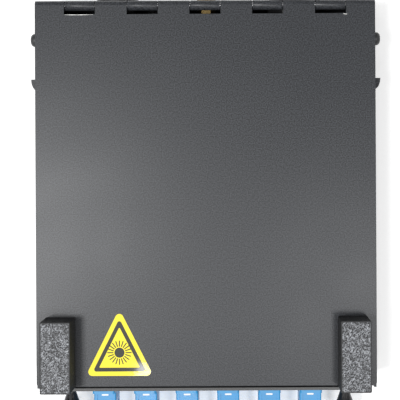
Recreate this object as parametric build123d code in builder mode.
from build123d import *
import os

# Fibre termination box: a folded steel case, hinged lid, and a pull-out plate of six adapters.
# Frame: X to the right, Y to the hinge, Z up. The origin is the centre of the four mounting holes,
# on the underside of the floor. All sizes are millimetres.

# ---------------------------------------------------------------- case
lid_width = 141.0            # over the side walls
lid_depth = 160.0            # front edge of the lid to the back of the hinge
case_height = 31.0           # underside to the top of the lid
sheet = 1.0                  # folded steel
lid_gap = 0.3                # under the lid, along the wall tops
fold_gap = 0.1               # between pieces that are screwed together
mount_hole_r = 2.15          # M4 clearance
mount_spacing_x = 110.0
mount_spacing_y = 124.0

# ---------------------------------------------------------------- fits
hole_gap = 0.1               # around a screw or a thread in sheet or plastic
tapped_gap = 0.03            # around a screw in its tapped hole
thread_gap = 0.05            # around the gland's thread, and of the seal in its bore
press_gap = 0.02             # between pieces pressed together
washer_gap = 0.15            # around the stud in its washers
cut_margin = 1.0             # how far a cut reaches past the face it starts from

# ---------------------------------------------------------------- hinge
pin_r = 1.0
pin_clearance = 0.05
notch_count = 5
notch_pitch = 26.0
notch_width = 12.9
notch_depth = 5.9
knuckle_gap = 0.3            # between a base knuckle and the sides of its notch
barrel_gap = 0.4             # between the turning barrel and the walls under it
pin_end_gap = 0.4            # the pin stops this short of each side
pin_chamfer = 0.2
curl_gap = 0.36              # between the end of a curl and the sheet it comes back to
curl_gap_length = 1.4
knuckle_slit_width = 0.5
knuckle_slit_height = 0.9
knuckle_slit_y = 0.25
knuckle_slit_z = 0.35
knuckle_slit_turn = -30

# ---------------------------------------------------------------- side fixings
screw_from_rear = 15.9
side_screw_z = 25.5
side_screw_r = 1.5
side_head_r = 2.75
side_head_h = 2.6
side_head_round = 1.612
side_screw_in = 5.0          # shank from the wall's outside
side_cross = 2.4
side_cross_width = 0.7
side_cross_depth = 1.2
lance_from_rear = 34.7
lance_length = 4.8
lance_height = 7.0
lance_proud = 2.8
lance_z = 22.0
lance_wall = 0.9
lance_root = 0.2             # how far the lance reaches into the wall
lance_cut_root = 0.5
lance_front_wall = 1.44
lance_rear_wall = 0.96
tongue_gap = 0.3             # above and below the tongue in the lance
tongue_reach = 1.8
tongue_thickness = 1.4
tongue_from_wall = 0.6
tab_length = 39.0            # rear panel's side tabs
tab_screw_top = 28.5         # tab height beside the screw
tab_front_margin = 1.0       # the tab steps down this far in front of the barrel
foot_depth = 8.0
foot_from_panel = 3.5        # to the middle of the foot
foot_from_side = 6.0

# ---------------------------------------------------------------- lid fittings
lid_corner_r = 1.3
block_width = 12.6
block_length = 29.2
block_height = 13.0
block_wall = 2.0
block_from_side = 3.7
block_from_front = -0.4      # the block stands this far over the lid's front edge
block_screw_spacing = 15.0
block_screw_r = 1.25
block_corner_r = 0.8
block_chamfer = 0.35
block_boss = 1.5             # plastic around a screw
block_hole_depth = 10.0
block_screw_in = 8.0         # shank above the lid's sheet
block_head_r = 2.4
block_head = 1.5
block_head_round = 0.7
block_cross = 2.2
block_cross_width = 0.6
block_cross_depth = 0.8
stiffener_leg = 5.0
stiffener_foot = 8.0
stiffener_from_wall = 0.5
stiffener_from_block = 3.0
stiffener_from_tab = 5.0
label_base = 28.0            # before its corners are rounded
label_height = 27.7
label_corner_r = 1.7
label_thickness = 0.12
label_x = -36.1
label_from_front = 4.4

# ---------------------------------------------------------------- adapter plate
plate_width = 129.5
plate_height = 28.8
plate_thickness = 1.2
plate_corner_r = 1.5
plate_below_middle = 0.4     # its middle, below the case's
plate_from_lid = 1.1         # the front wall stands this far in front of the lid's edge
front_wall_drop = 2.7        # its top, below the other walls' tops
plunger_spacing = 117.5
plunger_hole_r = 2.6
wall_hole_r = 3.0
adapter_count = 6
adapter_pitch = 17.4
body_width = 9.3
body_height = 12.9
flange_height = 22.0
flange_thickness = 2.0
adapter_front = 12.5
adapter_rear = 14.5
adapter_gap = 0.15           # body in its plate hole
body_corner_r = 0.5
flange_corner_r = 0.8
flange_hole_r = 1.1
flange_hole_from_end = 2.4
rib_count = 4
rib_pitch = 1.6
rib_start = 2.0
rib_width = 0.5
rib_depth = 0.25
rib_height = 7.74
port_width = 7.5
port_height = 9.1
key_width = 2.4
key_depth = 1.2
key_length = 9.0
window_margin = 4.5          # front wall window, beyond the outer adapters
window_height = 19.6
window_corner_r = 2.0
sight_slot_length = 3.0
sight_slot_width = 0.8
sight_tab_gap = 0.05         # around the holder's tab in the slot
recess_width = 6.4
recess_depth = 0.3
recess_from_flange = 0.4
sight_slot_from_plate = 2.6
holder_disc = 1.8
holder_tube_r = 2.3
holder_tube_length = 12.6
arm_width = 3.0
arm_thickness = 0.65
arm_reach = 7.5
port_gap = 0.1               # holder in the port
sleeve_r = 1.6
sleeve_bore_r = 1.25
sleeve_length = 11.4
sleeve_gap = 0.06
sleeve_slit = 0.25
tab_root = 0.2               # the sight tab starts this far inside the disc
cap_stem_r = 3.3
cap_bore_r = 2.7
cap_stem_length = 7.0
cap_head = 1.2
cap_tab_length = 3.6
cap_tab_thickness = 1.4
cap_tab_from_edge = 2.5
cap_tab_corner_r = 0.6
cap_head_from_side = 0.3
cap_head_from_end = 0.6
cap_head_corner_r = 1.2
cap_gap = 0.05               # under the head
clip_sheet = 0.35
clip_width = 7.0
clip_from_wall = 0.3
clip_spring = 2.4            # how far the spring leaf stands off
clip_leaf = 6.0
clip_length = 9.0
clip_band_at = 7.5
clip_band = 3.0
clip_band_inset = 0.2

# ---------------------------------------------------------------- plungers
grommet_head_r = 3.6
grommet_head = 1.2
grommet_leg_r = 2.3
grommet_leg_length = 6.0
grommet_bore_r = 1.7
grommet_slit = 0.5
grommet_slit_start = 0.8     # behind the plate's front
grommet_head_round = 0.4
plunger_pin_r = 1.45
knob_root_r = 1.7
knob_waist_r = 2.0
knob_waist = 3.6
knob_flare_r = 3.4
knob_flare = 7.6
knob_r = 4.6
knob_length = 13.0
knob_end_r = 2.8
knob_shoulder_r = 4.1
knob_shoulder = 0.7          # from the end
knob_widest = 2.4            # from the end
pin_tip = 1.2                # past the grommet's legs
pin_tip_taper = 1.0
pin_tip_r = 0.85
knob_slit_x = 0.9
knob_slit_z = 1.4            # above the axis
knob_slit_width = 0.5
knob_slit_length = 8.0
knob_slit_from_middle = 2.2
knob_travel_gap = 0.4

# ---------------------------------------------------------------- rear cable entries
entry_spacing = 76.0
entry_z = 14.0
gland_thread_r = 7.6
gland_bore_r = 4.6
gland_hex = 19.0
gland_hex_length = 5.0
gland_neck_length = 9.0
gland_neck_r = 6.6
gland_inner_length = 8.0
gland_washer_length = 0.8
gland_washer_inset = 0.3      # its rim, inside the hexagon's flats
lock_nut_hex = 20.0
lock_nut_height = 4.0
cap_nut_r = 8.6
cap_nut_length = 13.0
cap_nut_wall = 1.6
cap_nut_gap = 0.06           # over the gland's neck
cap_nut_stand_off = 0.4      # from the hexagon
cap_nut_round = 3.2
cap_nut_lip = 0.9            # its opening, wider than the seal's bore
cap_nut_grooves = 12
cap_nut_groove_width = 1.2
cap_nut_groove_depth = 0.8
cap_nut_groove_length = 9.1
seal_bore_r = 3.5
seal_length = 8.0
seal_out = 1.2               # past the end of the neck
plug_head_r = 9.5
plug_head = 2.5
plug_round = 0.8
plug_inner_length = 5.0
plug_wall = 1.4
plug_slot_length = 11.0
plug_slot_width = 1.6
plug_slot_depth = 1.2
stud_r = 2.0
stud_out = 11.0
stud_in = 5.0
stud_chamfer = 0.4
stud_nut_across = 7.0
stud_nut_length = 3.2
stud_washer_r = 4.5
stud_washer_length = 0.8
stud_gap = 0.2               # between the first outer nut and the second washer

# ---------------------------------------------------------------- inside
tray_from_wall = 11.5        # lane for the fibres beside the tray
tray_length = 80.0
tray_from_rear = 26.0
tray_height = 9.0
tray_wall = 1.6
tray_corner_r = 12.0
boss_from_edge = 8.0         # screw bosses
entrance_from_side = 22.0    # fibre entrances
entrance_width = 10.0
entrance_sill = 1.0
standoff_height = 10.0
standoff_r = 3.5
standoff_hex_r = 3.2
tray_screw_r = 1.25
tray_screw_head_r = 2.6
tray_screw_head = 1.6
tray_head_round = 0.8
tray_screw_in = 6.0          # shank in the stand-off
tray_cross = 2.6
tray_cross_width = 0.6
tray_cross_depth = 0.9
cover_thickness = 1.5
cover_hole_gap = 0.2
finger_notch_r = 7.0
hub_r = 15.0
hub_wall = 1.4
hub_from_side = 7.0
hub_opening = 11.25
hub_below_rim = 1.5
comb_slots = 12
comb_pitch = 2.6
comb_tooth = 0.9
comb_length = 30.0
comb_height = 5.0
comb_base = 1.0
comb_row = 6.0               # length of one row of teeth
saddle_width = 8.0
saddle_height = 7.0
saddle_wall = 1.2
saddle_gap_y = 36.0
saddle_outer_r = 1.6
saddle_inner_r = 1.0
saddle_slit = 1.2
saddle_slit_height = 3.0
saddle_slit_x = 1.0
saddle_foot = 8.5
bridge_width = 24.0
bridge_height = 9.0
bridge_length = 7.0
bridge_from_rear = 13.0
bridge_foot = 5.0            # to the outside of the upright
bridge_slot_x = 4.5
bridge_slot_width = 1.6
bridge_slot_length = 4.0
rivet_from_end = 2.3
rivet_r = 1.8
rivet_height = 1.0
rivet_round = 0.7

# ---------------------------------------------------------------- worked out from the above
half_width = lid_width / 2
rear_y = lid_depth / 2
front_y = -lid_depth / 2
lid_under = case_height - sheet
wall_top = lid_under - lid_gap
inner_x = half_width - sheet
front_wall_y = front_y - plate_from_lid
front_inner_y = front_wall_y + sheet
plate_front_y = front_wall_y - plate_thickness
plate_z = case_height / 2 - plate_below_middle
barrel_bore_r = pin_r + pin_clearance
barrel_r = barrel_bore_r + sheet
axis_y = rear_y - barrel_r
axis_z = case_height - barrel_r
low_wall_top = axis_z - barrel_r - barrel_gap
notch_y = rear_y - notch_depth
base_knuckle = notch_width - 2 * knuckle_gap
panel_x = inner_x - fold_gap
panel_inner_y = rear_y - sheet
screw_y = rear_y - screw_from_rear
side_shank_r = side_screw_r - 4 * press_gap
lance_y = rear_y - lance_from_rear
notch_xs = [(i - (notch_count - 1) / 2) * notch_pitch for i in range(notch_count)]
adapter_xs = [(i - (adapter_count - 1) / 2) * adapter_pitch for i in range(adapter_count)]
block_x = half_width - block_from_side - block_width / 2
block_y = front_y + block_from_front + block_length / 2
tray_half = inner_x - tray_from_wall
tray_y = panel_inner_y - tray_from_rear - tray_length / 2
tray_z = sheet + standoff_height
mouth_front_y = plate_front_y - flange_thickness - adapter_front
mouth_rear_y = plate_front_y + adapter_rear

os.makedirs("parts", exist_ok=True)


def save(builder, name):
    """Label a finished piece and write it to its own file."""
    builder.part.label = name
    export_step(builder.part, f"parts/{name}.step")


def facing_front(y):
    """A plane at y whose normal points to the front (-Y), with X to the right and Z up."""
    return Plane(origin=(0, y, 0), x_dir=(1, 0, 0), z_dir=(0, -1, 0))


def facing_rear(y):
    """A plane at y whose normal points to the rear (+Y), with its local x along -X and Z up."""
    return Plane(origin=(0, y, 0), x_dir=(-1, 0, 0), z_dir=(0, 1, 0))


# ================================================================ base tray
tray_wall_length = rear_y - front_wall_y
window_width = 2 * (adapter_xs[-1] + body_width / 2 + window_margin)
lance_cut_front = lance_y - lance_length / 2 + lance_front_wall
lance_cut_rear = lance_y + lance_length / 2 + lance_cut_root
with BuildPart() as base_tray:
    with BuildSketch(Plane.XY):
        with Locations((0, (rear_y + front_wall_y) / 2)):
            Rectangle(lid_width, tray_wall_length)
    extrude(amount=wall_top)
    with BuildSketch(Plane.XY.offset(sheet)):
        with Locations((0, (rear_y + front_inner_y + cut_margin) / 2)):
            Rectangle(2 * inner_x, rear_y - front_inner_y + cut_margin)
    extrude(amount=case_height, mode=Mode.SUBTRACT)
    # the walls drop under the turning hinge barrel
    with BuildSketch(Plane.XY.offset(low_wall_top)):
        with Locations((0, rear_y)):
            Rectangle(2 * lid_width, 2 * notch_depth)
    extrude(amount=case_height, mode=Mode.SUBTRACT)
    # the front wall stops lower, so that a shadow gap is left beside the plate
    with BuildSketch(Plane.XY.offset(wall_top - front_wall_drop)):
        with Locations((0, front_wall_y)):
            Rectangle(2 * inner_x, 2 * (sheet + press_gap))
    extrude(amount=case_height, mode=Mode.SUBTRACT)
    # window for the adapters and holes for the plungers
    with BuildSketch(facing_front(front_inner_y + cut_margin)):
        with Locations((0, plate_z)):
            RectangleRounded(window_width, window_height, window_corner_r)
        with Locations((-plunger_spacing / 2, plate_z), (plunger_spacing / 2, plate_z)):
            Circle(wall_hole_r)
    extrude(amount=sheet + 2 * cut_margin, mode=Mode.SUBTRACT)
    with GridLocations(mount_spacing_x, mount_spacing_y, 2, 2):
        Hole(mount_hole_r)
    # side screw holes
    with BuildSketch(Plane.YZ.offset(-lid_width)):
        with Locations((screw_y, side_screw_z)):
            Circle(side_screw_r + hole_gap)
    extrude(amount=2 * lid_width, mode=Mode.SUBTRACT)
    # quarter-round lances, open to the rear
    for side in (-1, 1):
        with BuildSketch(Plane.XY.offset(lance_z - lance_height / 2)) as outline:
            with BuildLine():
                Line((side * (inner_x + lance_root), lance_y - lance_length / 2),
                     (side * (inner_x + lance_root), lance_y + lance_length / 2))
                Line((side * (inner_x + lance_root), lance_y + lance_length / 2),
                     (side * (half_width + lance_proud), lance_y + lance_length / 2))
                EllipticalCenterArc((side * half_width, lance_y + lance_length / 2),
                                    lance_proud, lance_length,
                                    start_angle=270 if side > 0 else 180, arc_size=90)
                Line((side * half_width, lance_y - lance_length / 2),
                     (side * (inner_x + lance_root), lance_y - lance_length / 2))
            make_face()
        extrude(amount=lance_height)
        with BuildSketch(Plane.XY.offset(lance_z - lance_height / 2 + lance_wall)):
            with BuildLine():
                Line((side * (inner_x - lance_cut_root), lance_cut_front),
                     (side * (inner_x - lance_cut_root), lance_cut_rear))
                Line((side * (inner_x - lance_cut_root), lance_cut_rear),
                     (side * (half_width + lance_proud - lance_wall), lance_cut_rear))
                Line((side * (half_width + lance_proud - lance_wall), lance_cut_rear),
                     (side * (half_width + lance_proud - lance_wall), lance_y + lance_rear_wall))
                Line((side * (half_width + lance_proud - lance_wall), lance_y + lance_rear_wall),
                     (side * half_width, lance_cut_front))
                Line((side * half_width, lance_cut_front),
                     (side * (inner_x - lance_cut_root), lance_cut_front))
            make_face()
        extrude(amount=lance_height - 2 * lance_wall, mode=Mode.SUBTRACT)
    # folded edges
    folds = base_tray.edges().filter_by(Axis.Y).group_by(Axis.Z)[0].sort_by(Axis.X)
    fillet([folds[0], folds[-1]], sheet)
save(base_tray, "base_tray")

# ================================================================ rear panel
with BuildPart() as rear_panel:
    with BuildSketch(facing_rear(panel_inner_y)):
        with Locations((0, (low_wall_top + sheet + fold_gap) / 2)):
            Rectangle(2 * panel_x, low_wall_top - sheet - fold_gap)
    extrude(amount=sheet)
    # side tabs
    for side in (-1, 1):
        with BuildSketch(Plane.YZ.offset(side * panel_x)):
            with BuildLine():
                Polyline((rear_y, sheet + fold_gap), (rear_y - tab_length, sheet + fold_gap),
                         (rear_y - tab_length, tab_screw_top), (notch_y - tab_front_margin, tab_screw_top),
                         (notch_y - tab_front_margin, low_wall_top), (rear_y, low_wall_top), close=True)
            make_face()
            with Locations((screw_y, side_screw_z)):
                Circle(side_shank_r + tapped_gap, mode=Mode.SUBTRACT)
        extrude(amount=-side * sheet)
        # tongue that hooks into the lance
        with BuildSketch(Plane.XY.offset(lance_z - lance_height / 2 + lance_wall + tongue_gap)):
            with Locations((side * (inner_x + tongue_from_wall), lance_y + tongue_from_wall)):
                Rectangle(tongue_reach, tongue_thickness)
        extrude(amount=lance_height - 2 * (lance_wall + tongue_gap))
    # stiffening foot on the floor
    with BuildSketch(Plane.XY.offset(sheet + fold_gap)):
        with Locations((0, panel_inner_y - foot_from_panel)):
            Rectangle(2 * (panel_x - foot_from_side), foot_depth)
    extrude(amount=sheet)
    # hinge knuckles of the case
    for x in notch_xs:
        with BuildSketch(Plane.YZ.offset(x - base_knuckle / 2)):
            with Locations((axis_y, axis_z)):
                Circle(barrel_r)
            with Locations((panel_inner_y + sheet / 2, (axis_z + low_wall_top) / 2)):
                Rectangle(sheet, axis_z - low_wall_top + 2 * hole_gap)
            with Locations((axis_y, axis_z)):
                Circle(barrel_bore_r, mode=Mode.SUBTRACT)
            # the curl ends short of the wall
            with Locations((axis_y + knuckle_slit_y, axis_z - barrel_r + knuckle_slit_z)):
                Rectangle(knuckle_slit_width, knuckle_slit_height, rotation=knuckle_slit_turn,
                          mode=Mode.SUBTRACT)
        extrude(amount=base_knuckle)
    # cable entries and the earth stud
    with BuildSketch(facing_rear(panel_inner_y - cut_margin)):
        with Locations((-entry_spacing / 2, entry_z), (entry_spacing / 2, entry_z)):
            Circle(gland_thread_r + hole_gap)
        with Locations((0, entry_z)):
            Circle(stud_r + hole_gap)
    extrude(amount=sheet + 2 * cut_margin, mode=Mode.SUBTRACT)
save(rear_panel, "rear_panel")

with BuildPart() as rear_panel_screws:
    for side in (-1, 1):
        with BuildSketch(Plane.YZ.offset(side * half_width)):
            with Locations((screw_y, side_screw_z)):
                Circle(side_head_r)
        extrude(amount=side * side_head_h)
        with BuildSketch(Plane.YZ.offset(side * half_width)):
            with Locations((screw_y, side_screw_z)):
                Circle(side_shank_r)
        extrude(amount=-side * side_screw_in)
    rims = rear_panel_screws.edges().filter_by(GeomType.CIRCLE).sort_by(Axis.X)
    fillet([rims[0], rims[-1]], side_head_round)
    for side in (-1, 1):
        with BuildSketch(Plane.YZ.offset(side * (half_width + side_head_h))):
            with Locations((screw_y, side_screw_z)):
                Rectangle(side_cross, side_cross_width)
                Rectangle(side_cross_width, side_cross)
        extrude(amount=-side * side_cross_depth, mode=Mode.SUBTRACT)
save(rear_panel_screws, "rear_panel_screws")

# ================================================================ hinge pin
with BuildPart() as hinge_pin:
    with BuildSketch(Plane.YZ.offset(-half_width + pin_end_gap)):
        with Locations((axis_y, axis_z)):
            Circle(pin_r)
    extrude(amount=lid_width - 2 * pin_end_gap)
    chamfer(hinge_pin.edges().filter_by(GeomType.CIRCLE), pin_chamfer)
save(hinge_pin, "hinge_pin")

# ================================================================ lid
with BuildPart() as lid:
    with BuildSketch(Plane.XY.offset(lid_under)):
        with Locations((0, (front_y + axis_y) / 2)):
            Rectangle(lid_width, axis_y - front_y)
    extrude(amount=sheet)
    corners = lid.edges().filter_by(Axis.Z).group_by(Axis.Y)[0]
    fillet(corners, lid_corner_r)
    with BuildSketch(Plane.YZ.offset(-half_width)):
        with Locations((axis_y, axis_z)):
            Circle(barrel_r)
            Circle(barrel_bore_r, mode=Mode.SUBTRACT)
        # the curl ends just under the sheet
        with Locations((axis_y - barrel_r + sheet / 2, lid_under - curl_gap / 2)):
            Rectangle(curl_gap_length, curl_gap, mode=Mode.SUBTRACT)
    extrude(amount=lid_width)
    with BuildSketch(Plane.XY.offset(axis_z - barrel_r - cut_margin)):
        with Locations(*[(x, notch_y + notch_depth / 2 + cut_margin) for x in notch_xs]):
            Rectangle(notch_width, notch_depth + 2 * cut_margin)
    extrude(amount=2 * (barrel_r + cut_margin), mode=Mode.SUBTRACT)
    # holes for the corner blocks' screws
    with Locations(*[(side * block_x, block_y + dy, case_height) for side in (-1, 1)
                     for dy in (-block_screw_spacing / 2, block_screw_spacing / 2)]):
        Hole(block_screw_r + hole_gap)
save(lid, "lid")

stiffener_x = inner_x - stiffener_from_wall
stiffener_rear = rear_y - tab_length - stiffener_from_tab
stiffener_front = front_inner_y + stiffener_from_wall
with BuildPart() as lid_stiffeners:
    for side in (-1, 1):
        with BuildSketch(Plane.XZ.offset(-stiffener_rear)):
            with BuildLine():
                Polyline((side * stiffener_x, lid_under), (side * stiffener_x, lid_under - stiffener_leg),
                         (side * (stiffener_x - sheet), lid_under - stiffener_leg),
                         (side * (stiffener_x - sheet), lid_under - sheet),
                         (side * (stiffener_x - stiffener_foot), lid_under - sheet),
                         (side * (stiffener_x - stiffener_foot), lid_under), close=True)
            make_face()
        extrude(amount=stiffener_rear - (block_y + block_length / 2 + stiffener_from_block))
    with BuildSketch(Plane.YZ.offset(-window_width / 2)):
        with BuildLine():
            Polyline((stiffener_front, lid_under), (stiffener_front, lid_under - stiffener_leg),
                     (stiffener_front + sheet, lid_under - stiffener_leg),
                     (stiffener_front + sheet, lid_under - sheet),
                     (stiffener_front + stiffener_foot, lid_under - sheet),
                     (stiffener_front + stiffener_foot, lid_under), close=True)
        make_face()
    extrude(amount=window_width)
save(lid_stiffeners, "lid_stiffeners")

# ================================================================ corner blocks
for name, side in (("corner_block_left", -1), ("corner_block_right", 1)):
    with BuildPart() as block:
        with BuildSketch(Plane.XY.offset(case_height)):
            with Locations((side * block_x, block_y)):
                RectangleRounded(block_width, block_length, block_corner_r)
        extrude(amount=block_height)
        chamfer(block.edges().group_by(Axis.Z)[-1], block_chamfer)
        with BuildSketch(Plane.XY.offset(case_height)):
            with Locations((side * block_x, block_y)):
                Rectangle(block_width - 2 * block_wall, block_length - 2 * block_wall)
            with Locations(*[(side * block_x, block_y + dy)
                             for dy in (-block_screw_spacing / 2, block_screw_spacing / 2)]):
                Circle(block_screw_r + block_boss, mode=Mode.SUBTRACT)
        extrude(amount=block_height - block_wall, mode=Mode.SUBTRACT)
        with BuildSketch(Plane.XY.offset(case_height)):
            with Locations(*[(side * block_x, block_y + dy)
                             for dy in (-block_screw_spacing / 2, block_screw_spacing / 2)]):
                Circle(block_screw_r + press_gap)
        extrude(amount=block_hole_depth, mode=Mode.SUBTRACT)
    save(block, name)

with BuildPart() as block_screws:
    spots = [(side * block_x, block_y + dy) for side in (-1, 1)
             for dy in (-block_screw_spacing / 2, block_screw_spacing / 2)]
    with BuildSketch(Plane.XY.offset(lid_under - block_head)):
        with Locations(*spots):
            Circle(block_head_r)
    extrude(amount=block_head)
    with BuildSketch(Plane.XY.offset(lid_under)):
        with Locations(*spots):
            Circle(block_screw_r)
    extrude(amount=sheet + block_screw_in)
    fillet(block_screws.edges().filter_by(GeomType.CIRCLE).group_by(Axis.Z)[0], block_head_round)
    with BuildSketch(Plane.XY.offset(lid_under - block_head)):
        with Locations(*spots):
            Rectangle(block_cross, block_cross_width)
            Rectangle(block_cross_width, block_cross)
    extrude(amount=block_cross_depth, mode=Mode.SUBTRACT)
save(block_screws, "block_screws")

# ================================================================ label
with BuildPart() as warning_label:
    with BuildSketch(Plane.XY.offset(case_height)) as triangle:
        with BuildLine():
            Polyline((label_x - label_base / 2, front_y + label_from_front),
                     (label_x + label_base / 2, front_y + label_from_front),
                     (label_x, front_y + label_from_front + label_height), close=True)
        make_face()
        fillet(triangle.vertices(), label_corner_r)
    extrude(amount=label_thickness)
save(warning_label, "warning_label")

# ================================================================ adapter plate
with BuildPart() as adapter_plate:
    with BuildSketch(facing_front(front_wall_y)):
        with Locations((0, plate_z)):
            RectangleRounded(plate_width, plate_height, plate_corner_r)
        with Locations(*[(x, plate_z) for x in adapter_xs]):
            Rectangle(body_width + 2 * adapter_gap, body_height + 2 * adapter_gap, mode=Mode.SUBTRACT)
        with Locations((-plunger_spacing / 2, plate_z), (plunger_spacing / 2, plate_z)):
            Circle(plunger_hole_r, mode=Mode.SUBTRACT)
    extrude(amount=plate_thickness)
save(adapter_plate, "adapter_plate")

# ================================================================ adapters
flange_hole_z = flange_height / 2 - flange_hole_from_end
holder_y = plate_front_y - sight_slot_from_plate - holder_disc / 2
for i, x in enumerate(adapter_xs):
    with BuildPart() as adapter:
        with BuildSketch(facing_front(mouth_rear_y)):
            with Locations((x, plate_z)):
                RectangleRounded(body_width, body_height, body_corner_r)
        extrude(amount=mouth_rear_y - mouth_front_y)
        with BuildSketch(facing_front(plate_front_y)):
            with Locations((x, plate_z)):
                RectangleRounded(body_width, flange_height, flange_corner_r)
        extrude(amount=flange_thickness)
        # port, with its key slot on the right
        with BuildSketch(facing_front(mouth_rear_y)):
            with Locations((x, plate_z)):
                Rectangle(port_width, port_height)
        extrude(amount=mouth_rear_y - mouth_front_y, mode=Mode.SUBTRACT)
        for mouth, inward in ((mouth_front_y, -1), (mouth_rear_y, 1)):
            with BuildSketch(facing_front(mouth)):
                with Locations((x + port_width / 2, plate_z)):
                    Rectangle(key_depth, key_width)
            extrude(amount=inward * key_length, mode=Mode.SUBTRACT)
        # shallow recesses above and below, in front of the flange
        recess_start = plate_front_y - flange_thickness - recess_from_flange
        for dz in (-body_height / 2, body_height / 2):
            with BuildSketch(facing_front(recess_start)):
                with Locations((x, plate_z + dz)):
                    Rectangle(recess_width, 2 * recess_depth)
            extrude(amount=adapter_front, mode=Mode.SUBTRACT)
        # the sight slot over the holder's disc
        with BuildSketch(Plane.XY.offset(plate_z)):
            with Locations((x, holder_y)):
                SlotOverall(sight_slot_length, sight_slot_width)
        extrude(amount=body_height, mode=Mode.SUBTRACT)
        # screw holes of the flange
        with BuildSketch(facing_front(plate_front_y + cut_margin)):
            with Locations((x, plate_z + flange_hole_z), (x, plate_z - flange_hole_z)):
                Circle(flange_hole_r)
        extrude(amount=flange_thickness + 2 * cut_margin, mode=Mode.SUBTRACT)
        # grip ribs beside the front mouth
        for side in (-1, 1):
            with BuildSketch(Plane.YZ.offset(x + side * body_width / 2)):
                for n in range(rib_count):
                    with Locations((mouth_front_y + rib_start + rib_pitch * n, plate_z)):
                        Rectangle(rib_width, rib_height)
            extrude(amount=-side * rib_depth, mode=Mode.SUBTRACT)
    save(adapter, f"adapter_{i + 1}")

arm_z = port_height / 2 - port_gap - arm_thickness / 2
with BuildPart() as sleeve_holders:
    for x in adapter_xs:
        with BuildSketch(facing_front(holder_y + holder_disc / 2)):
            with Locations((x, plate_z)):
                Rectangle(port_width - 2 * port_gap, port_height - 2 * port_gap)
        extrude(amount=holder_disc)
        with BuildSketch(facing_front(holder_y + holder_tube_length / 2)):
            with Locations((x, plate_z)):
                Circle(holder_tube_r)
        extrude(amount=holder_tube_length)
        # tab that shows in the sight slot
        with BuildSketch(Plane.XY.offset(plate_z + port_height / 2 - port_gap - tab_root)):
            with Locations((x, holder_y)):
                SlotOverall(sight_slot_length - 2 * sight_tab_gap, sight_slot_width - 2 * sight_tab_gap)
        extrude(amount=body_height / 2 - recess_depth - port_height / 2 + port_gap + tab_root)
        for dz in (-arm_z, arm_z):
            with BuildSketch(facing_front(holder_y + arm_reach)):
                with Locations((x, plate_z + dz)):
                    Rectangle(arm_width, arm_thickness)
            extrude(amount=2 * arm_reach)
        with BuildSketch(facing_front(holder_y + holder_tube_length)):
            with Locations((x, plate_z)):
                Circle(sleeve_r + sleeve_gap)
        extrude(amount=2 * holder_tube_length, mode=Mode.SUBTRACT)
save(sleeve_holders, "sleeve_holders")

with BuildPart() as ceramic_sleeves:
    for x in adapter_xs:
        with BuildSketch(facing_front(holder_y + sleeve_length / 2)):
            with Locations((x, plate_z)):
                Circle(sleeve_r)
                Circle(sleeve_bore_r, mode=Mode.SUBTRACT)
            with Locations((x, plate_z + sleeve_r)):
                Rectangle(sleeve_slit, sleeve_r, mode=Mode.SUBTRACT)
        extrude(amount=sleeve_length)
save(ceramic_sleeves, "ceramic_sleeves")

clip_top = body_height / 2 + clip_sheet + press_gap
clip_front = front_wall_y + clip_from_wall
clip_bend = clip_front + clip_leaf
clip_end = clip_front + clip_length
with BuildPart() as retaining_clips:
    for x in adapter_xs:
        for up in (-1, 1):
            with BuildSketch(Plane.YZ.offset(x - clip_width / 2)):
                with BuildLine():
                    Polyline((clip_front, plate_z + up * (clip_top + clip_spring)),
                             (clip_front, plate_z + up * (clip_top + clip_spring - clip_sheet)),
                             (clip_bend, plate_z + up * (clip_top - clip_sheet)),
                             (clip_end, plate_z + up * (clip_top - clip_sheet)),
                             (clip_end, plate_z + up * clip_top),
                             (clip_bend, plate_z + up * clip_top), close=True)
                make_face()
            extrude(amount=clip_width)
        with BuildSketch(Plane.XY.offset(plate_z - clip_top)):
            with Locations((x - body_width / 2 - clip_sheet / 2 - press_gap, clip_front + clip_band_at)):
                Rectangle(clip_sheet, clip_band)
        extrude(amount=2 * clip_top)
        for up in (-1, 1):
            with BuildSketch(facing_front(clip_end)):
                with Locations((x - body_width / 4 - clip_band_inset,
                                plate_z + up * (clip_top - clip_sheet / 2))):
                    Rectangle(body_width / 2 + 2 * clip_sheet, clip_sheet)
            extrude(amount=clip_band)
save(retaining_clips, "retaining_clips")

for i, x in enumerate(adapter_xs):
    for name, mouth, out in (("dust_cap", mouth_front_y, -1), ("rear_dust_cap", mouth_rear_y, 1)):
        with BuildPart() as cap:
            # stem over the holder's tube
            with BuildSketch(facing_front(mouth + out * cap_head / 2)):
                with Locations((x, plate_z)):
                    Circle(cap_stem_r)
            extrude(amount=out * (cap_stem_length + cap_head / 2))
            # head against the mouth
            with BuildSketch(facing_front(mouth + out * cap_gap)):
                with Locations((x, plate_z)):
                    RectangleRounded(body_width - 2 * cap_head_from_side,
                                     body_height - 2 * cap_head_from_end, cap_head_corner_r)
            extrude(amount=-out * cap_head)
            with BuildSketch(facing_front(mouth + out * cap_head)):
                with Locations((x, plate_z)):
                    RectangleRounded(cap_tab_thickness, body_height - 2 * cap_tab_from_edge,
                                     cap_tab_corner_r)
            extrude(amount=-out * cap_tab_length)
            with BuildSketch(facing_front(mouth)):
                with Locations((x, plate_z)):
                    Circle(cap_bore_r)
            extrude(amount=out * (cap_stem_length + cut_margin), mode=Mode.SUBTRACT)
        save(cap, f"{name}_{i + 1}")

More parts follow.
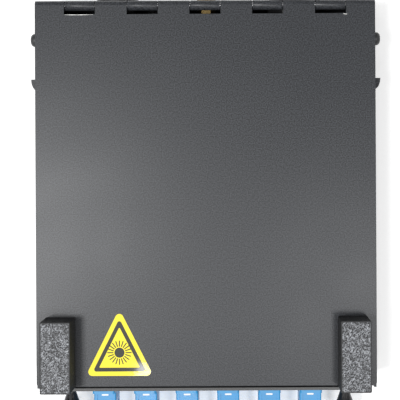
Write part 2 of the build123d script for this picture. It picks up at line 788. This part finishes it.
# ================================================================ plungers and their grommets
pin_end = grommet_leg_length + pin_tip
knob_start = grommet_head + knob_travel_gap
for name, side in (("left", -1), ("right", 1)):
    x = side * plunger_spacing / 2
    with BuildPart() as grommet:
        with BuildSketch(facing_front(plate_front_y)):
            with Locations((x, plate_z)):
                Circle(grommet_head_r)
        extrude(amount=grommet_head)
        fillet(grommet.edges().filter_by(GeomType.CIRCLE).sort_by(Axis.Y)[0], grommet_head_round)
        with BuildSketch(facing_front(plate_front_y)):
            with Locations((x, plate_z)):
                Circle(grommet_leg_r)
        extrude(amount=-grommet_leg_length)
        with BuildSketch(facing_front(plate_front_y - grommet_head)):
            with Locations((x, plate_z)):
                Circle(grommet_bore_r)
        extrude(amount=-grommet_leg_length - grommet_head, mode=Mode.SUBTRACT)
        with BuildSketch(facing_front(plate_front_y + grommet_slit_start)):
            with Locations((x, plate_z)):
                Rectangle(2 * grommet_head_r, grommet_slit)
                Rectangle(grommet_slit, 2 * grommet_head_r)
        extrude(amount=-grommet_leg_length, mode=Mode.SUBTRACT)
    save(grommet, f"grommet_{name}")

    with BuildPart() as plunger:
        with BuildSketch(Plane(origin=(x, plate_front_y, plate_z), x_dir=(1, 0, 0), z_dir=(0, 0, 1))):
            with BuildLine():
                # half profile: across the knob, along its axis
                Polyline((0, pin_end), (pin_tip_r, pin_end), (plunger_pin_r, pin_end - pin_tip_taper),
                         (plunger_pin_r, -knob_start), (knob_root_r, -knob_start),
                         (knob_waist_r, -knob_waist), (knob_flare_r, -knob_flare))
                Spline((knob_flare_r, -knob_flare), (knob_r, knob_widest - knob_length),
                       (knob_shoulder_r, knob_shoulder - knob_length), (knob_end_r, -knob_length))
                Polyline((knob_end_r, -knob_length), (0, -knob_length), (0, pin_end))
            make_face()
        revolve(axis=Axis((x, plate_front_y, plate_z), (0, 1, 0)))
        # two finger slits beside the ridge
        for dx in (-knob_slit_x, knob_slit_x):
            with BuildSketch(Plane.XY.offset(plate_z + knob_slit_z)):
                with Locations((x + dx, plate_front_y - knob_length / 2 - knob_slit_from_middle)):
                    Rectangle(knob_slit_width, knob_slit_length)
            extrude(amount=knob_r, mode=Mode.SUBTRACT)
    save(plunger, f"plunger_{name}")

# ================================================================ cable entries
gland_x = entry_spacing / 2


def rear_disc(x, y, radius, length, mode=Mode.ADD):
    """A cylinder along +Y from y, on a cable entry's axis."""
    with BuildSketch(facing_rear(y)) as disc:
        with Locations((-x, entry_z)):
            Circle(radius)
    extrude(disc.sketch, amount=length, mode=mode)


def rear_hex(x, y, across, length):
    """A hexagon along +Y from y, on a cable entry's axis."""
    with BuildSketch(facing_rear(y)) as hexagon:
        with Locations((-x, entry_z)):
            RegularPolygon(across / 2, side_count=6, major_radius=False)
    extrude(hexagon.sketch, amount=length)


gland_hex_y = rear_y + gland_washer_length
gland_length = gland_inner_length + sheet + gland_washer_length + gland_hex_length + gland_neck_length
with BuildPart() as gland_body:
    rear_disc(gland_x, panel_inner_y - gland_inner_length, gland_thread_r,
              gland_inner_length + sheet + gland_washer_length + hole_gap)
    rear_hex(gland_x, gland_hex_y, gland_hex, gland_hex_length)
    rear_disc(gland_x, gland_hex_y + gland_hex_length, gland_neck_r, gland_neck_length)
    rear_disc(gland_x, panel_inner_y - gland_inner_length - cut_margin, gland_bore_r,
              gland_length + 2 * cut_margin, Mode.SUBTRACT)
save(gland_body, "gland_body")

with BuildPart() as gland_washer:
    rear_disc(gland_x, rear_y, gland_hex / 2 - gland_washer_inset, gland_washer_length)
    rear_disc(gland_x, rear_y - cut_margin, gland_thread_r + thread_gap,
              gland_washer_length + 2 * cut_margin, Mode.SUBTRACT)
save(gland_washer, "gland_washer")

with BuildPart() as gland_lock_nut:
    rear_hex(gland_x, panel_inner_y - lock_nut_height, lock_nut_hex, lock_nut_height)
    rear_disc(gland_x, panel_inner_y - lock_nut_height - cut_margin, gland_thread_r + thread_gap,
              lock_nut_height + 2 * cut_margin, Mode.SUBTRACT)
save(gland_lock_nut, "gland_lock_nut")

seal_y = gland_hex_y + gland_hex_length + gland_neck_length - seal_length + seal_out
with BuildPart() as gland_seal:
    rear_disc(gland_x, seal_y, gland_bore_r - thread_gap, seal_length)
    rear_disc(gland_x, seal_y - cut_margin, seal_bore_r, seal_length + 2 * cut_margin, Mode.SUBTRACT)
save(gland_seal, "gland_seal")

cap_nut_y = gland_hex_y + gland_hex_length + cap_nut_stand_off
with BuildPart() as gland_cap:
    rear_disc(gland_x, cap_nut_y, cap_nut_r, cap_nut_length)
    fillet(gland_cap.edges().filter_by(GeomType.CIRCLE).sort_by(Axis.Y)[-1], cap_nut_round)
    rear_disc(gland_x, cap_nut_y - cut_margin, gland_neck_r + cap_nut_gap,
              cap_nut_length - cap_nut_wall + cut_margin, Mode.SUBTRACT)
    rear_disc(gland_x, cap_nut_y, seal_bore_r + cap_nut_lip, cap_nut_length + cut_margin,
              Mode.SUBTRACT)
    with BuildSketch(facing_rear(cap_nut_y)):
        with Locations((-gland_x, entry_z)):
            with PolarLocations(cap_nut_r, cap_nut_grooves):
                Rectangle(cap_nut_groove_depth, cap_nut_groove_width)
    extrude(amount=cap_nut_groove_length, mode=Mode.SUBTRACT)
save(gland_cap, "gland_cap")

with BuildPart() as blank_plug:
    rear_disc(-gland_x, rear_y, plug_head_r, plug_head)
    fillet(blank_plug.edges().filter_by(GeomType.CIRCLE).sort_by(Axis.Y)[-1], plug_round)
    rear_disc(-gland_x, panel_inner_y - plug_inner_length, gland_thread_r, plug_inner_length + sheet)
    rear_disc(-gland_x, panel_inner_y - plug_inner_length - cut_margin, gland_thread_r - plug_wall,
              plug_inner_length + cut_margin + sheet, Mode.SUBTRACT)
    with BuildSketch(facing_rear(rear_y + plug_head)):
        with Locations((gland_x, entry_z)):
            Rectangle(plug_slot_length, plug_slot_width)
    extrude(amount=-plug_slot_depth, mode=Mode.SUBTRACT)
save(blank_plug, "blank_plug")

with BuildPart() as ground_stud:
    rear_disc(0, panel_inner_y - stud_in, stud_r, stud_in + sheet + stud_out)
    chamfer(ground_stud.edges().filter_by(GeomType.CIRCLE).sort_by(Axis.Y)[-1], stud_chamfer)
save(ground_stud, "ground_stud")

second_washer_y = rear_y + stud_washer_length + stud_nut_length + stud_gap
with BuildPart() as ground_nuts:
    for y in (panel_inner_y - stud_nut_length, rear_y + stud_washer_length,
              second_washer_y + stud_washer_length):
        rear_hex(0, y, stud_nut_across, stud_nut_length)
    rear_disc(0, panel_inner_y - stud_in - cut_margin, stud_r + tapped_gap,
              stud_in + sheet + stud_out + 2 * cut_margin, Mode.SUBTRACT)
save(ground_nuts, "ground_nuts")

with BuildPart() as ground_washers:
    for y in (rear_y, second_washer_y):
        rear_disc(0, y, stud_washer_r, stud_washer_length)
    rear_disc(0, rear_y - cut_margin, stud_r + washer_gap, stud_out, Mode.SUBTRACT)
save(ground_washers, "ground_washers")

# ================================================================ splice tray
standoff_spots = [(sx * (tray_half - boss_from_edge), tray_y + sy * (tray_length / 2 - boss_from_edge))
                  for sx in (-1, 1) for sy in (-1, 1)]
hub_x = tray_half - hub_from_side - hub_r
tray_floor_top = tray_z + tray_wall
with BuildPart() as splice_tray:
    with BuildSketch(Plane.XY.offset(tray_z)):
        with Locations((0, tray_y)):
            RectangleRounded(2 * tray_half, tray_length, tray_corner_r)
    extrude(amount=tray_height)
    with BuildSketch(Plane.XY.offset(tray_floor_top)):
        with Locations((0, tray_y)):
            RectangleRounded(2 * (tray_half - tray_wall), tray_length - 2 * tray_wall,
                             tray_corner_r - tray_wall)
    extrude(amount=tray_height, mode=Mode.SUBTRACT)
    # winding hubs, each open towards the comb
    with BuildSketch(Plane.XY.offset(tray_floor_top)):
        for side in (-1, 1):
            with Locations((side * hub_x, tray_y)):
                Circle(hub_r)
                Circle(hub_r - hub_wall, mode=Mode.SUBTRACT)
            with Locations((side * (hub_x - hub_r), tray_y)):
                Rectangle(hub_r, hub_opening, mode=Mode.SUBTRACT)
    extrude(amount=tray_height - tray_wall - hub_below_rim)
    # screw bosses
    with BuildSketch(Plane.XY.offset(tray_z)):
        with Locations(*standoff_spots):
            Circle(standoff_r)
    extrude(amount=tray_height)
    # fibre entrances at the rear corners
    with BuildSketch(Plane.XY.offset(tray_floor_top + entrance_sill)):
        with Locations(*[(sx * (tray_half - entrance_from_side), tray_y + sy * tray_length / 2)
                         for sx in (-1, 1) for sy in (-1, 1)]):
            Rectangle(entrance_width, 2 * (tray_wall + cut_margin))
    extrude(amount=tray_height, mode=Mode.SUBTRACT)
    with BuildSketch(Plane.XY.offset(tray_z)):
        with Locations(*standoff_spots):
            Circle(tray_screw_r + hole_gap)
    extrude(amount=tray_height, mode=Mode.SUBTRACT)
save(splice_tray, "splice_tray")

comb_width = comb_slots * comb_pitch + comb_tooth
with BuildPart() as splice_comb:
    with BuildSketch(Plane.XY.offset(tray_floor_top)):
        with Locations((0, tray_y)):
            Rectangle(comb_width, comb_length)
    extrude(amount=comb_base)
    with BuildSketch(Plane.XY.offset(tray_floor_top + comb_base)):
        with Locations((0, tray_y)):
            for row in (-1, 0, 1):
                with Locations((0, row * (comb_length - comb_row) / 2)):
                    with GridLocations(comb_pitch, 1, comb_slots + 1, 1):
                        Rectangle(comb_tooth, comb_row)
    extrude(amount=comb_height - comb_base)
save(splice_comb, "splice_comb")

cover_z = tray_z + tray_height
with BuildPart() as tray_cover:
    with BuildSketch(Plane.XY.offset(cover_z)):
        with Locations((0, tray_y)):
            RectangleRounded(2 * tray_half, tray_length, tray_corner_r)
        with Locations(*standoff_spots):
            Circle(tray_screw_r + cover_hole_gap, mode=Mode.SUBTRACT)
        with Locations((0, tray_y - tray_length / 2)):
            Circle(finger_notch_r, mode=Mode.SUBTRACT)
    extrude(amount=cover_thickness)
save(tray_cover, "tray_cover")

with BuildPart() as tray_standoffs:
    with BuildSketch(Plane.XY.offset(sheet)):
        with Locations(*standoff_spots):
            RegularPolygon(standoff_hex_r, side_count=6, major_radius=False)
            Circle(tray_screw_r + tapped_gap, mode=Mode.SUBTRACT)
    extrude(amount=standoff_height)
save(tray_standoffs, "tray_standoffs")

with BuildPart() as tray_screws:
    with BuildSketch(Plane.XY.offset(cover_z + cover_thickness)):
        with Locations(*standoff_spots):
            Circle(tray_screw_head_r)
    extrude(amount=tray_screw_head)
    fillet(tray_screws.edges().filter_by(GeomType.CIRCLE).group_by(Axis.Z)[-1], tray_head_round)
    with BuildSketch(Plane.XY.offset(cover_z + cover_thickness)):
        with Locations(*standoff_spots):
            Circle(tray_screw_r)
    extrude(amount=-(cover_thickness + tray_height + tray_screw_in))
    with BuildSketch(Plane.XY.offset(cover_z + cover_thickness + tray_screw_head)):
        with Locations(*standoff_spots):
            Rectangle(tray_cross, tray_cross_width)
            Rectangle(tray_cross_width, tray_cross)
    extrude(amount=-tray_cross_depth, mode=Mode.SUBTRACT)
save(tray_screws, "tray_screws")

# ================================================================ fibre and cable supports
saddle_x = inner_x - tray_from_wall / 2
with BuildPart() as fiber_saddles:
    for sx in (-1, 1):
        for sy in (-1, 1):
            with BuildSketch(Plane.XZ.offset(-(tray_y + sy * saddle_gap_y / 2 + saddle_width / 2))):
                with Locations((sx * saddle_x, sheet + saddle_height / 2)):
                    RectangleRounded(saddle_height, saddle_height, saddle_outer_r)
                    RectangleRounded(saddle_height - 2 * saddle_wall, saddle_height - 2 * saddle_wall,
                                     saddle_inner_r, mode=Mode.SUBTRACT)
                with Locations((sx * (saddle_x - saddle_slit_x), sheet + saddle_height)):
                    Rectangle(saddle_slit, saddle_slit_height, mode=Mode.SUBTRACT)
                with Locations((sx * saddle_x, sheet + saddle_wall / 2)):
                    Rectangle(saddle_foot, saddle_wall)
            extrude(amount=saddle_width)
save(fiber_saddles, "fiber_saddles")

bridge_y = panel_inner_y - bridge_from_rear
bridge_left = gland_x - bridge_width / 2
bridge_right = gland_x + bridge_width / 2
bridge_inside = bridge_foot + sheet
with BuildPart() as strain_relief_bridge:
    with BuildSketch(Plane.XZ.offset(-(bridge_y + bridge_length / 2))):
        with BuildLine():
            Polyline((bridge_left, sheet), (bridge_left + bridge_inside, sheet),
                     (bridge_left + bridge_inside, bridge_height),
                     (bridge_right - bridge_inside, bridge_height),
                     (bridge_right - bridge_inside, sheet), (bridge_right, sheet), (bridge_right, 2 * sheet),
                     (bridge_right - bridge_foot, 2 * sheet),
                     (bridge_right - bridge_foot, sheet + bridge_height),
                     (bridge_left + bridge_foot, sheet + bridge_height),
                     (bridge_left + bridge_foot, 2 * sheet), (bridge_left, 2 * sheet), close=True)
        make_face()
    extrude(amount=bridge_length)
    # slots for a cable tie
    with BuildSketch(Plane.XY.offset(bridge_height)):
        with Locations((gland_x - bridge_slot_x, bridge_y), (gland_x + bridge_slot_x, bridge_y)):
            Rectangle(bridge_slot_width, bridge_slot_length)
    extrude(amount=sheet + cut_margin, mode=Mode.SUBTRACT)
save(strain_relief_bridge, "strain_relief_bridge")

with BuildPart() as bridge_rivets:
    with BuildSketch(Plane.XY.offset(2 * sheet)):
        with Locations((bridge_left + rivet_from_end, bridge_y), (bridge_right - rivet_from_end, bridge_y)):
            Circle(rivet_r)
    extrude(amount=rivet_height)
    fillet(bridge_rivets.edges().filter_by(GeomType.CIRCLE).group_by(Axis.Z)[-1], rivet_round)
save(bridge_rivets, "bridge_rivets")
